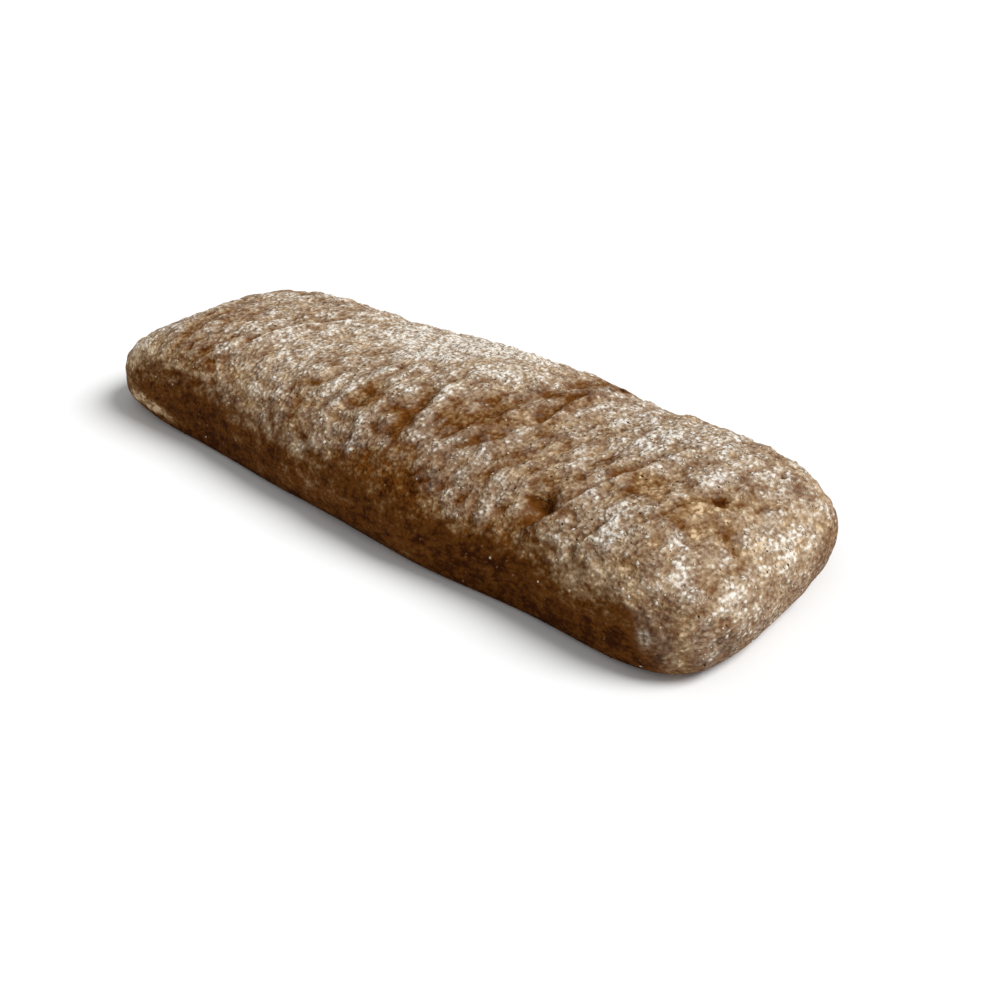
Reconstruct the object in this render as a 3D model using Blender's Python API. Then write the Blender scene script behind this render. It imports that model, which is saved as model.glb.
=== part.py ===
"""Ciabatta roll, one closed loaf that lies on its flat base with its length along X.

Metres, +Z up, origin in the middle of the base. The loaf starts as a cube cut into a grid. Each point
of the grid is placed on the loaf's smooth form, and then moved along the crust's normal by the swells,
creases and pits of the baked dough.
"""

import math

import bmesh
import bpy
import numpy as np
from mathutils import Vector, noise

MM = 0.001
LOAF = "ciabatta_roll"
COLLECTION = "Ciabatta roll"

# Driving dimensions.
LENGTH = 220 * MM
WIDTH = 86 * MM
CREST_HEIGHT = 29.3 * MM
BELLY_HEIGHT = 7.4 * MM

# The outline seen from above. Places along the loaf run from -1 at the -X end to 1 at the +X end.
TAPER = 0.11
BOW = -6.2 * MM
CORNER_POWERS = {"left_near": 4.9, "left_far": 4.3, "right_near": 4.7, "right_far": 4.5}
SIDE_STATIONS = (-1.0, -0.6, -0.2, 0.2, 0.6, 1.0)
NEAR_SIDE_SWELL = (0.0, -2.0 * MM, 0.2 * MM, 1.1 * MM, -3.3 * MM, 0.0)
FAR_SIDE_SWELL = (0.0, 0.4 * MM, -0.4 * MM, 2.2 * MM, -2.9 * MM, 0.0)

# The height of the crest, as shares of CREST_HEIGHT: two humps at the ends and one in the middle.
CREST_STATIONS = (-1.0, -0.8, -0.4, 0.0, 0.4, 0.8)
CREST_SHARES = (1.08, 1.15, 0.96, 1.0, 0.88, 1.1)
CREST_TILT = -0.05

# The section across the loaf: a domed top over a belly that tucks in to the base.
DOME_POWER = 2.53
BASE_SHARE = 0.94
LEFT_END_LIFT = 0.058
SHOULDER = 0.86

# Points that measure the wall's curve, and a share too small to matter.
WALL_SAMPLES = 201
TINY = 1e-6

# How late, on the way out from the middle, the square grid bends round the loaf's corners.
CORNER_PULL = 3.0

# Cells of the grid along X, across Y and up the wall.
CELLS_LONG = 88
CELLS_WIDE = 30
CELLS_HIGH = 8

# Slow swells of the dough: (size across, height, place in the noise).
LUMPS = (
    (34 * MM, 0.9 * MM, Vector((3.1, 7.4, 1.7))),
    (13 * MM, 0.55 * MM, Vector((11.9, 2.3, 5.2))),
    (6.5 * MM, 0.3 * MM, Vector((4.6, 15.8, 9.1))),
)
BASE_FADE = 5 * MM

# Creases in the crust, in millimetres: (depth, half width, lip beside it, path in crust coordinates).
# A lip stands on the left of its path, and the groove falls steeply from it.
CREASES = {
    "main_fold": (
        1.0,
        4.2,
        0.5,
        ((38, 44), (32, 39), (27, 31), (25, 20), (25, 10), (22, -1), (20, -11), (16, -24)),
    ),
    "main_fold_line": (
        1.6,
        2.2,
        0.8,
        ((34, 39), (30, 31), (30.5, 20), (31, 9), (32, 0), (31, -8)),
    ),
    "pit_fold": (
        1.8,
        2.6,
        1.2,
        ((70, 9), (67, 1), (64.5, -8), (62, -17), (60.3, -26), (57.8, -32.5), (54, -37.5), (50, -42)),
    ),
    "left_fold": (
        1.4,
        2.4,
        0.8,
        ((-42, 34), (-47, 23), (-52, 12), (-57, 2), (-60.5, -8), (-61, -17), (-57, -28)),
    ),
    "crest_fold": (0.9, 2.2, 0.6, ((-26, 38), (-25, 29), (-23.5, 20), (-20, 11), (-18, 4))),
    "near_ridge_fold": (1.2, 3.0, 0.9, ((-14, -38), (-12.5, -31), (-11.5, -25), (-11, -19), (-9, -11))),
    "middle_ridge_fold": (1.3, 3.2, 0.9, ((1.2, -4.5), (3, -9.5), (5, -17), (6.7, -23.5), (8.5, -30))),
    "short_fold": (0.8, 2.2, 0.6, ((-7.5, -28), (-5.6, -33.5), (-3.5, -38.5), (-2, -43))),
    "long_wrinkle": (0.8, 1.8, 0.5, ((76, -16), (74, -25), (72, -33), (69, -39.5), (66, -46))),
    "side_wrinkle": (
        0.8,
        1.8,
        0.5,
        ((86, -30), (79, -34.5), (74.4, -38), (71, -42), (69, -47), (68, -51)),
    ),
    "far_left_fold": (0.8, 2.6, 0.5, ((-76, 24), (-70, 33), (-66, 43), (-64, 52))),
    "far_right_fold": (0.9, 2.6, 0.6, ((64, 20), (61, 29), (60, 39), (63, 49))),
    "left_end_fold": (0.7, 2.8, 0.4, ((-84, -8), (-90, 2), (-92, 13), (-88, 24))),
    "right_end_fold": (0.6, 2.6, 0.4, ((101, 24), (97, 14), (97, 4), (101, -8))),
}
# Round hollows and swells, in millimetres: (centre in crust coordinates, radius, height).
BLISTERS = {
    "deep_pit": ((54.2, -30), 3.7, -3.8),
    "pit_brow": ((46, -27), 7.0, 0.8),
    "small_hole": ((88.5, -4), 1.9, -1.5),
    "far_notch": ((36, 40), 4.0, -1.3),
    "streak_hollow": ((17, -25), 6.0, -0.7),
    "brown_hollow": ((75, -7), 8.0, -0.9),
    "left_hollow": ((-78, -25), 9.0, -0.7),
    "spot_a": ((-37, -36), 2.2, -0.8),
    "spot_b": ((-31, -30), 2.2, -0.7),
    "spot_c": ((-17, -42), 2.4, -0.9),
    "spot_d": ((-25, -21), 2.6, -0.5),
    "spot_e": ((-9, -36), 2.2, -0.6),
    "right_pad": ((86, -24), 15.0, 1.1),
    "left_pad": ((-40, -18), 15.0, 0.8),
    "crest_pad": ((-4, 20), 14.0, 0.8),
    "far_pad": ((58, 24), 13.0, 0.9),
    "far_corner": ((97, 27), 9.0, 1.1),
    "far_dip": ((80, 23), 9.0, -0.6),
    "near_belly": ((4, -51), 11.0, 1.5),
    "right_belly": ((80, -51), 9.0, 1.0),
}
SPLINE_STEPS = 6
# A crease fades in and out over this share of its length, at each end.
CREASE_FADE = 0.25
# The shape across a crease, in half widths: the steep side of its groove, and its lip's place and width.
STEEP = 0.5
LIP_PLACE = 1.15
LIP_WIDTH = 0.8

CRUST_COLOUR = (0.25, 0.15, 0.085, 1.0)
CRUST_ROUGHNESS = 0.85
# Shading breaks where faces meet at more than this angle, which happens round the base only.
SHARP_ANGLE = math.radians(50)


def clear_scene():
    """Removes every object of the scene."""
    for obj in list(bpy.data.objects):
        bpy.data.objects.remove(obj, do_unlink=True)


def smoothstep(t):
    """Eases from 0 at t = 0 to 1 at t = 1."""
    t = np.clip(t, 0.0, 1.0)
    return t * t * (3.0 - 2.0 * t)


def along_stations(x, stations, values):
    """The value at x, eased from each station to the next."""
    x = np.clip(x, stations[0], stations[-1])
    last = len(stations) - 2
    index = np.clip(np.searchsorted(stations, x) - 1, 0, last)
    starts = np.asarray(stations)[index]
    ends = np.asarray(stations)[index + 1]
    share = smoothstep((x - starts) / (ends - starts))
    return np.asarray(values)[index] * (1.0 - share) + np.asarray(values)[index + 1] * share


def corner_power(along, across):
    """How square the outline is in the direction (along, across) from the loaf's middle."""
    right = smoothstep(0.5 + 0.5 * along)
    far = smoothstep(0.5 + 0.5 * across)
    powers = CORNER_POWERS
    left_end = powers["left_near"] * (1.0 - far) + powers["left_far"] * far
    right_end = powers["right_near"] * (1.0 - far) + powers["right_far"] * far
    return left_end * (1.0 - right) + right_end * right


def onto_square(x, y):
    """The direction of a point, on the rim of a square, and its share of the way out to the rim."""
    reach = np.maximum(np.abs(x), np.abs(y))
    safe = np.maximum(reach, TINY)
    return np.where(reach < TINY, 1.0, x / safe), np.where(reach < TINY, 0.0, y / safe), reach


def outline_scale(along, across):
    """How far the outline stands from the middle in a direction, as a share of the square's rim."""
    power = corner_power(along, across)
    return (np.abs(along) ** power + np.abs(across) ** power) ** (-1.0 / power)


def outline_share(x, y):
    """The share of the way out from the middle to the outline at which a plan point lies."""
    along, across, reach = onto_square(x, y)
    return reach / outline_scale(along, across)


def crest_height(x, y):
    """The height that the loaf would have at plan shares (x, y) without its dome."""
    return CREST_HEIGHT * along_stations(x, CREST_STATIONS, CREST_SHARES) * (1.0 + CREST_TILT * y)


def dome(reach):
    """Height of the domed top, from 1 at the crest to 0 at the belly line."""
    return (1.0 - np.minimum(reach, 1.0) ** DOME_POWER) ** (1.0 / DOME_POWER)


def place(x, y, tuck, rise):
    """The point at plan shares (x, y), tuck up from base to belly and rise up from belly to crest."""
    half = WIDTH / 2 * y * (1.0 + TAPER * x) + BOW * x * x
    near = along_stations(x, SIDE_STATIONS, NEAR_SIDE_SWELL) * np.clip(-y, 0.0, 1.0) ** 2
    far = along_stations(x, SIDE_STATIONS, FAR_SIDE_SWELL) * np.clip(y, 0.0, 1.0) ** 2
    belly = BELLY_HEIGHT * tuck
    height = belly + (crest_height(x, y) - BELLY_HEIGHT) * rise
    return np.stack([LENGTH / 2 * x, half - near + far, height], axis=-1)


def wall_point(along, across, turn):
    """A point of the wall: turn runs from -1 at the base, over 0 at the belly, to 1 at the shoulder."""
    base_share = BASE_SHARE - LEFT_END_LIFT * np.clip(-along, 0.0, 1.0) ** 3
    angle = np.clip(1.0 + turn, 0.0, 1.0) * math.pi / 2
    below = base_share + (1.0 - base_share) * np.sin(angle)
    above = 1.0 - (1.0 - SHOULDER) * np.clip(turn, 0.0, 1.0) ** 2
    share = np.where(turn < 0.0, below, above)
    tuck = np.where(turn < 0.0, 1.0 - np.cos(angle), 1.0)
    rise = np.where(turn < 0.0, 0.0, dome(share))
    return place(along * share, across * share, tuck, rise)


def wall_turns(rows):
    """The turns that cut the wall into rows of equal height along its curve, at mid length."""
    turns = np.linspace(-1.0, 1.0, WALL_SAMPLES)
    points = wall_point(np.zeros(WALL_SAMPLES), -np.ones(WALL_SAMPLES), turns)
    steps = np.linalg.norm(np.diff(points, axis=0), axis=1)
    run = np.concatenate([[0.0], np.cumsum(steps)])
    return np.interp(np.linspace(0.0, run[-1], rows + 1), run, turns)


def outward(along, across):
    """The level direction that leaves the outline squarely at each of its points."""
    power = corner_power(along, across) - 1.0
    lean_long = np.sign(along) * np.abs(along) ** power / LENGTH
    lean_wide = np.sign(across) * np.abs(across) ** power / WIDTH
    lean = np.stack([lean_long, lean_wide], axis=-1)
    return lean / np.linalg.norm(lean, axis=-1, keepdims=True)


def smooth_form(cube):
    """Places the points of a cube that reaches from -1 to 1 on the loaf's smooth form.

    Returns them with their crust coordinates: the crust laid out flat, as the place seen from above, and
    past the shoulder the distance down the wall is added outwards.
    """
    along, across, reach = onto_square(cube[:, 0], cube[:, 1])
    scale = outline_scale(along, across)
    rows = np.rint((cube[:, 2] + 1.0) / 2.0 * CELLS_HIGH).astype(int)
    wall = wall_point(along * scale, across * scale, wall_turns(CELLS_HIGH)[rows])
    shoulder = wall_point(along * scale, across * scale, np.ones(len(cube)))
    pull = SHOULDER * (1.0 - (1.0 - scale) * reach**CORNER_PULL)
    x = cube[:, 0] * pull
    y = cube[:, 1] * pull
    top = place(x, y, 1.0, dome(outline_share(x, y)))
    is_wall = (reach > 1.0 - TINY)[:, None]
    points = np.where(is_wall, wall, top)
    run = np.linalg.norm(wall - shoulder, axis=1, keepdims=True)
    laid_out = shoulder[:, :2] + outward(along * scale, across * scale) * run
    return points, np.where(is_wall, laid_out, points[:, :2])


def spline(path):
    """A smooth curve through the points of a path."""
    knots = np.asarray(path, float) * MM
    ends = np.vstack([2 * knots[0] - knots[1], knots, 2 * knots[-1] - knots[-2]])
    rows = []
    for i in range(len(knots) - 1):
        a, b, c, d = ends[i : i + 4]
        for t in np.arange(SPLINE_STEPS) / SPLINE_STEPS:
            bend = 2 * b + (c - a) * t + (2 * a - 5 * b + 4 * c - d) * t * t
            rows.append((bend + (3 * b - a - 3 * c + d) * t**3) / 2)
    rows.append(knots[-1])
    return np.array(rows)


def across_crease(place_on_crust, half_width, path):
    """The distance across a crease, in half widths and positive on its left, and its fade to its ends."""
    line = spline(path)
    nearest = np.full(len(place_on_crust), np.inf)
    side = np.zeros(len(place_on_crust))
    share = np.zeros(len(place_on_crust))
    for i in range(len(line) - 1):
        run = line[i + 1] - line[i]
        offset = place_on_crust - line[i]
        t = np.clip(offset @ run / (run @ run), 0.0, 1.0)
        away = offset - t[:, None] * run
        distance = np.linalg.norm(away, axis=1)
        closer = distance < nearest
        nearest = np.where(closer, distance, nearest)
        side = np.where(closer, np.sign(run[0] * away[:, 1] - run[1] * away[:, 0]), side)
        share = np.where(closer, (i + t) / (len(line) - 1), share)
    fade = smoothstep(share / CREASE_FADE) * smoothstep((1.0 - share) / CREASE_FADE)
    return nearest * side / (half_width * MM), fade


def crease(place_on_crust, depth, half_width, lip, path):
    """Relief of one crease: a groove along its path, steep towards the lip on its left."""
    across, fade = across_crease(place_on_crust, half_width, path)
    groove = -depth * MM * np.exp(-(np.where(across > 0.0, across / STEEP, across) ** 2))
    swell = lip * MM * np.exp(-(((across - LIP_PLACE) / LIP_WIDTH) ** 2))
    return (groove + swell) * fade


def blister(place_on_crust, centre, radius, height):
    """Relief of one round hollow or swell."""
    distance = np.linalg.norm(place_on_crust - np.array(centre) * MM, axis=1)
    return height * MM * np.exp(-((distance / (radius * MM)) ** 2))


def lumps(points):
    """Relief of the dough's slow, uneven swelling."""
    total = np.zeros(len(points))
    for size, height, offset in LUMPS:
        values = [noise.noise(Vector(point) / size + offset) for point in points]
        total += height * np.array(values)
    return total


def relief(points, place_on_crust):
    """How far each point of the crust moves along its normal."""
    total = lumps(points)
    for depth, half_width, lip, path in CREASES.values():
        total += crease(place_on_crust, depth, half_width, lip, path)
    for centre, radius, height in BLISTERS.values():
        total += blister(place_on_crust, centre, radius, height)
    return total * smoothstep(points[:, 2] / BASE_FADE)


def grid_cube():
    """A cube from -1 to 1, cut into the loaf's grid of cells."""
    mesh = bmesh.new()
    bmesh.ops.create_cube(mesh, size=2.0)
    for axis, cells in enumerate((CELLS_LONG, CELLS_WIDE, CELLS_HIGH)):
        edges = [e for e in mesh.edges if abs(e.verts[0].co[axis] - e.verts[1].co[axis]) > 1.0]
        bmesh.ops.subdivide_edges(mesh, edges=edges, cuts=cells - 1, use_grid_fill=True)
    return mesh


def flatten_base(mesh):
    """Makes the base one flat face."""
    base = [face for face in mesh.faces if face.normal.z < -0.9 and face.calc_center_median().z < -0.99]
    bmesh.ops.dissolve_faces(mesh, faces=base)


def move_to(mesh, points):
    """Moves each vertex of the mesh to its own point."""
    for vert, point in zip(mesh.verts, points):
        vert.co = point


def settle(points):
    """Centres the loaf on the origin and scales it to its exact length."""
    low = points.min(axis=0)
    high = points.max(axis=0)
    middle = np.array([(low[0] + high[0]) / 2, (low[1] + high[1]) / 2, low[2]])
    return (points - middle) * (LENGTH / (high[0] - low[0]))


def crust_material():
    """Dark baked crust under a dusting of flour."""
    material = bpy.data.materials.new("floured_brown_crust")
    material.use_nodes = True
    shader = material.node_tree.nodes["Principled BSDF"]
    shader.inputs["Base Color"].default_value = CRUST_COLOUR
    shader.inputs["Roughness"].default_value = CRUST_ROUGHNESS
    shader.inputs["Metallic"].default_value = 0.0
    material.diffuse_color = CRUST_COLOUR
    return material


def build_loaf(collection):
    """Makes the loaf's one object."""
    mesh = grid_cube()
    mesh.normal_update()
    flatten_base(mesh)
    form, place_on_crust = smooth_form(np.array([vert.co for vert in mesh.verts]))
    move_to(mesh, form)
    mesh.normal_update()
    normals = np.array([vert.normal for vert in mesh.verts])
    points = form + normals * relief(form, place_on_crust)[:, None]
    move_to(mesh, settle(points))
    mesh.normal_update()
    data = bpy.data.meshes.new(LOAF)
    mesh.to_mesh(data)
    mesh.free()
    data.shade_smooth()
    data.set_sharp_from_angle(angle=SHARP_ANGLE)
    data.materials.append(crust_material())
    loaf = bpy.data.objects.new(LOAF, data)
    collection.objects.link(loaf)


def main():
    clear_scene()
    collection = bpy.data.collections.new(COLLECTION)
    bpy.context.scene.collection.children.link(collection)
    build_loaf(collection)


main()
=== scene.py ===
"""Ciabatta roll: a creased, dark-baked crust with a dusting of flour and flakes of bran.

Each piece has an operator in the sidebar. Sizes are in metres, and MM is one millimetre. Places on the
crust are in crust coordinates: the crust laid out flat, in millimetres from the middle of the loaf.
"""

import math

import bmesh
import bpy
import numpy as np
from bpy.props import FloatProperty, FloatVectorProperty, IntProperty, PointerProperty
from mathutils import Matrix, Vector, noise


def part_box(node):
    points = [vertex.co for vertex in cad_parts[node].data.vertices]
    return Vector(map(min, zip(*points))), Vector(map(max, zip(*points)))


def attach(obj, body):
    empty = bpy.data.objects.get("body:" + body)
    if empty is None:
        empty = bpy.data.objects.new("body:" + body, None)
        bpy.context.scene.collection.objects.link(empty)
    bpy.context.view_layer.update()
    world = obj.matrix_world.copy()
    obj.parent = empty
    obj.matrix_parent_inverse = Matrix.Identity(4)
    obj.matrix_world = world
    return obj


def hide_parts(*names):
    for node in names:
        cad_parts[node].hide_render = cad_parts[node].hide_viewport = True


bl_info = {
    "name": "Ciabatta Roll",
    "version": (1, 0, 0),
    "blender": (4, 5, 0),
    "location": "3D View > Sidebar > Ciabatta",
    "description": "Dresses a ciabatta roll with its crust, flour and bran, on a plain stage",
    "category": "Object",
}

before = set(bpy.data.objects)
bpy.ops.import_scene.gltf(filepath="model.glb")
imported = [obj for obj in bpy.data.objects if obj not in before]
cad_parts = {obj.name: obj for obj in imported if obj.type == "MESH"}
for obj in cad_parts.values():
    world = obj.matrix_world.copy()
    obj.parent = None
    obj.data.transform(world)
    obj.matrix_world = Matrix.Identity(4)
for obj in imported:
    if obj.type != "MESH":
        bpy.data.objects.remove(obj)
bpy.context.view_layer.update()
LOAF = "ciabatta_roll"
BODY = "root"
LOAF_LOW, LOAF_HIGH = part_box(LOAF)

MM = 0.001
LENGTH = LOAF_HIGH.x - LOAF_LOW.x
WIDTH = 86 * MM
CREST_HEIGHT = 29.3 * MM
BELLY_HEIGHT = 7.4 * MM

# The outline seen from above. Places along the loaf run from -1 at the -X end to 1 at the +X end.
TAPER = 0.11
BOW = -6.2 * MM
CORNER_POWERS = {"left_near": 4.9, "left_far": 4.3, "right_near": 4.7, "right_far": 4.5}
SIDE_STATIONS = (-1.0, -0.6, -0.2, 0.2, 0.6, 1.0)
NEAR_SIDE_SWELL = (0.0, -2.0 * MM, 0.2 * MM, 1.1 * MM, -3.3 * MM, 0.0)
FAR_SIDE_SWELL = (0.0, 0.4 * MM, -0.4 * MM, 2.2 * MM, -2.9 * MM, 0.0)

# The height of the crest, as shares of CREST_HEIGHT: two humps at the ends and one in the middle.
CREST_STATIONS = (-1.0, -0.8, -0.4, 0.0, 0.4, 0.8)
CREST_SHARES = (1.08, 1.15, 0.96, 1.0, 0.88, 1.1)
CREST_TILT = -0.05

# The section across the loaf: a domed top over a belly that tucks in to the base.
DOME_POWER = 2.53
BASE_SHARE = 0.94
LEFT_END_LIFT = 0.058
SHOULDER = 0.86

# Points that measure the wall's curve, and a share too small to matter.
WALL_SAMPLES = 201
TINY = 1e-6

# How late, on the way out from the middle, the square grid bends round the loaf's corners.
CORNER_PULL = 3.0

# Cells of the fine grid along X, across Y and up the wall.
CELLS_LONG = 290
CELLS_WIDE = 112
CELLS_HIGH = 35

# Slow swells of the dough: (size across, height, place in the noise).
LUMPS = (
    (34 * MM, 0.9 * MM, Vector((3.1, 7.4, 1.7))),
    (13 * MM, 0.55 * MM, Vector((11.9, 2.3, 5.2))),
    (6.5 * MM, 0.3 * MM, Vector((4.6, 15.8, 9.1))),
)
BASE_FADE = 5 * MM

# Creases in the crust, in millimetres: (depth, half width, lip beside it, path in crust coordinates).
# A lip stands on the left of its path, and the groove falls steeply from it.
CREASES = {
    "main_fold": (
        1.0,
        4.2,
        0.5,
        ((38, 44), (32, 39), (27, 31), (25, 20), (25, 10), (22, -1), (20, -11), (16, -24)),
    ),
    "main_fold_line": (
        1.6,
        2.2,
        0.8,
        ((34, 39), (30, 31), (30.5, 20), (31, 9), (32, 0), (31, -8)),
    ),
    "pit_fold": (
        1.8,
        2.6,
        1.2,
        ((70, 9), (67, 1), (64.5, -8), (62, -17), (60.3, -26), (57.8, -32.5), (54, -37.5), (50, -42)),
    ),
    "left_fold": (
        1.4,
        2.4,
        0.8,
        ((-42, 34), (-47, 23), (-52, 12), (-57, 2), (-60.5, -8), (-61, -17), (-57, -28)),
    ),
    "crest_fold": (0.9, 2.2, 0.6, ((-26, 38), (-25, 29), (-23.5, 20), (-20, 11), (-18, 4))),
    "near_ridge_fold": (1.2, 3.0, 0.9, ((-14, -38), (-12.5, -31), (-11.5, -25), (-11, -19), (-9, -11))),
    "middle_ridge_fold": (1.3, 3.2, 0.9, ((1.2, -4.5), (3, -9.5), (5, -17), (6.7, -23.5), (8.5, -30))),
    "short_fold": (0.8, 2.2, 0.6, ((-7.5, -28), (-5.6, -33.5), (-3.5, -38.5), (-2, -43))),
    "long_wrinkle": (0.8, 1.8, 0.5, ((76, -16), (74, -25), (72, -33), (69, -39.5), (66, -46))),
    "side_wrinkle": (
        0.8,
        1.8,
        0.5,
        ((86, -30), (79, -34.5), (74.4, -38), (71, -42), (69, -47), (68, -51)),
    ),
    "far_left_fold": (0.8, 2.6, 0.5, ((-76, 24), (-70, 33), (-66, 43), (-64, 52))),
    "far_right_fold": (0.9, 2.6, 0.6, ((64, 20), (61, 29), (60, 39), (63, 49))),
    "left_end_fold": (0.7, 2.8, 0.4, ((-84, -8), (-90, 2), (-92, 13), (-88, 24))),
    "right_end_fold": (0.6, 2.6, 0.4, ((101, 24), (97, 14), (97, 4), (101, -8))),
}
# Round hollows and swells, in millimetres: (centre in crust coordinates, radius, height).
BLISTERS = {
    "deep_pit": ((54.2, -30), 3.7, -3.8),
    "pit_brow": ((46, -27), 7.0, 0.8),
    "small_hole": ((88.5, -4), 1.9, -1.5),
    "far_notch": ((36, 40), 4.0, -1.3),
    "streak_hollow": ((17, -25), 6.0, -0.7),
    "brown_hollow": ((75, -7), 8.0, -0.9),
    "left_hollow": ((-78, -25), 9.0, -0.7),
    "spot_a": ((-37, -36), 2.2, -0.8),
    "spot_b": ((-31, -30), 2.2, -0.7),
    "spot_c": ((-17, -42), 2.4, -0.9),
    "spot_d": ((-25, -21), 2.6, -0.5),
    "spot_e": ((-9, -36), 2.2, -0.6),
    "right_pad": ((86, -24), 15.0, 1.1),
    "left_pad": ((-40, -18), 15.0, 0.8),
    "crest_pad": ((-4, 20), 14.0, 0.8),
    "far_pad": ((58, 24), 13.0, 0.9),
    "far_corner": ((97, 27), 9.0, 1.1),
    "far_dip": ((80, 23), 9.0, -0.6),
    "near_belly": ((4, -51), 11.0, 1.5),
    "right_belly": ((80, -51), 9.0, 1.0),
}
SPLINE_STEPS = 6
# A crease fades in and out over this share of its length, at each end.
CREASE_FADE = 0.25
# The shape across a crease, in half widths: the steep side of its groove, and its lip's place and width.
STEEP = 0.5
LIP_PLACE = 1.15
LIP_WIDTH = 0.8

# Fine wrinkles of the baked skin: (size along, size across, height, place in the noise).
WRINKLES = (
    (5.2 * MM, 11.0 * MM, 0.42 * MM, Vector((21.3, 4.9, 2.2))),
    (2.9 * MM, 5.0 * MM, 0.22 * MM, Vector((7.7, 31.2, 8.4))),
    (1.7 * MM, 2.6 * MM, 0.10 * MM, Vector((14.1, 6.2, 27.5))),
)
# The noise of a wrinkle, made into ridges: how steep they are, and how much of them lies in the valleys.
WRINKLE_STEEPNESS = 3.0
WRINKLE_VALLEY = 0.5
# How much of the wrinkles' height is left on the walls, and where the crust counts as level for them, by
# the height of its normal.
WALL_WRINKLES = 0.35
LEVEL_FROM = 0.2
LEVEL_SPAN = 0.6
# The fine crust is sunk by this much, so that its grains stay inside the loaf's own box.
SKIN_SINK = 0.45 * MM
# Pits in the underside: size across, depth, the noise at which they open, the further noise at which
# they are deepest, place in the noise.
PITS = (3.2 * MM, 0.5 * MM, 0.12, 0.25, Vector((3.9, 12.7, 40.1)))
# Where the crust counts as underside, by how far its normal points down, and where it has pits.
UNDER_FROM = 0.9
UNDER_SPAN = 0.08
PIT_SPAN = 0.1

# Flour lying on the crust: the share it covers where nothing below changes it, then places with more
# or less of it: (centre in crust coordinates, radii along and across, change in share).
FLOUR_REST = 0.28
FLOUR_PATCHES = (
    ((-45, -8), (18, 20), 0.30),
    ((-64, 10), (14, 12), 0.12),
    ((-14, -14), (6, 5), 0.36),
    ((-22, 12), (34, 13), 0.36),
    ((20, 5), (4, 6), 0.10),
    # Partly flour, partly a painted sheen on the far crest.
    ((-2, 26), (32, 13), 0.62),
    ((-60, 28), (24, 10), 0.24),
    ((-96, -25), (10, 12), 0.22),
    ((27, -27), (9, 9), 0.16),
    ((46.5, -29.5), (4, 4), 0.30),
    ((60, 3), (7, 4), 0.34),
    ((75, -29.5), (3.6, 5), 0.55),
    ((70, -38), (6, 6), 0.20),
    ((84, -48), (16, 6), 0.14),
    ((95.3, -32.3), (2, 4.2), 0.95),
    ((90, -25), (2, 3.6), 0.60),
    ((84, 0), (3, 4.5), 0.64),
    ((72, 22), (26, 14), 0.26),
    ((107, 6), (8, 11), 0.40),
    ((113.5, -8), (4, 7), 0.28),
    ((111, -23), (3.5, 7), 0.48),
    ((124, -8), (12, 36), 0.28),
    ((100, -47), (8, 7), -0.45),
    ((-55, -27), (8, 6), 0.20),
    ((-74, -34), (14, 7), -0.42),
    ((-84, -15), (12, 8), -0.22),
    ((-27, -33), (5, 4), -0.2),
    ((-8, -24), (5, 5), -0.26),
    ((4, -19), (5, 6), -0.16),
    ((20, -20), (9, 7), -0.46),
    ((24, -13), (6, 6), -0.30),
    ((10, -34), (7, 5), -0.34),
    ((38, -20), (7, 6), -0.22),
    ((45, -2), (10, 9), -0.16),
    # This and the next two take flour off the near shoulder: partly bare crust, partly painted shade.
    ((10, -44), (14, 8), -0.90),
    ((32, -50), (24, 6), -0.80),
    ((54, -43), (8, 7), -0.70),
    ((47, -21.5), (8, 4.5), -0.34),
    ((58, -20), (4, 6), -0.20),
    ((55, -31), (5, 6), -0.44),
    ((70, -14), (4, 9), -0.40),
    ((91, -6), (6, 6), -0.34),
    ((88.8, -4.3), (1.8, 1.8), -0.60),
    ((84, -15), (2.6, 9), -0.30),
    ((88, -37), (5, 4), -0.30),
    ((76.5, -34), (3.5, 2.2), 0.55),
    ((75.5, -22.5), (5, 3.5), 0.42),
    ((32, 22), (3.5, 13), -0.42),
    ((35, 34), (3.5, 4), -0.70),
    ((-2, -38), (4, 4), 0.40),
    ((0, -13), (3, 8), 0.22),
    ((33, -11), (4, 8), 0.30),
    ((33, -23), (7, 4), 0.12),
    ((32.5, -30), (4, 4), -0.24),
    ((13, 18), (5, 8), -0.26),
    ((72.5, -44.5), (4, 4), -0.20),
    ((61, 18), (5, 8), 0.30),
    ((78, 16), (10, 6), 0.22),
    ((61, -16), (2.5, 7), 0.22),
    ((-66, -35), (7, 4), -0.25),
    ((40, -36), (18, 4), -0.12),
    ((24, 28), (4, 9), -0.28),
    ((-73, -5), (4, 4), 0.22),
    ((-84, 10), (5, 8), 0.24),
    ((-34, -5), (4, 5), -0.14),
    ((93.5, -16), (5, 7), -0.38),
    ((-94, -36), (7, 7), 0.20),
)
# Flour pressed onto the crust, which holds on the walls too.
CLINGING_FLOUR = (
    ((88.9, -54.8), (1.7, 1.3), 1.60),
    ((88.9, -55), (0.9, 0.7), -1.60),
    ((102, -42), (12, 12), 0.07),
    ((105, -46.5), (3.5, 2.5), 0.30),
    ((111, -40), (3, 3), 0.30),
    ((96, -53), (5, 3), 0.24),
)
# Flour at creases: (name, half width, change of share in the groove, change of share on the lip).
CREASE_FLOUR = (
    ("main_fold", 5.2, -0.42, 0.0),
    ("main_fold_line", 2.0, -0.35, 0.10),
    ("pit_fold", 2.6, -0.45, 0.30),
    ("left_fold", 2.2, -0.45, 0.20),
    ("crest_fold", 1.8, -0.35, 0.10),
    ("near_ridge_fold", 3.0, -0.35, 0.35),
    ("middle_ridge_fold", 3.2, -0.35, 0.40),
    ("short_fold", 2.2, -0.20, 0.35),
    ("long_wrinkle", 1.5, -0.30, 0.15),
    ("side_wrinkle", 1.5, -0.35, 0.20),
)
# The flour's own unevenness: (size across, change in share, place in the noise).
FLOUR_DRIFT = (
    (12 * MM, 0.25, Vector((5.5, 8.1, 3.3))),
    (4.2 * MM, 0.32, Vector((17.2, 1.4, 6.6))),
)
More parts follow.
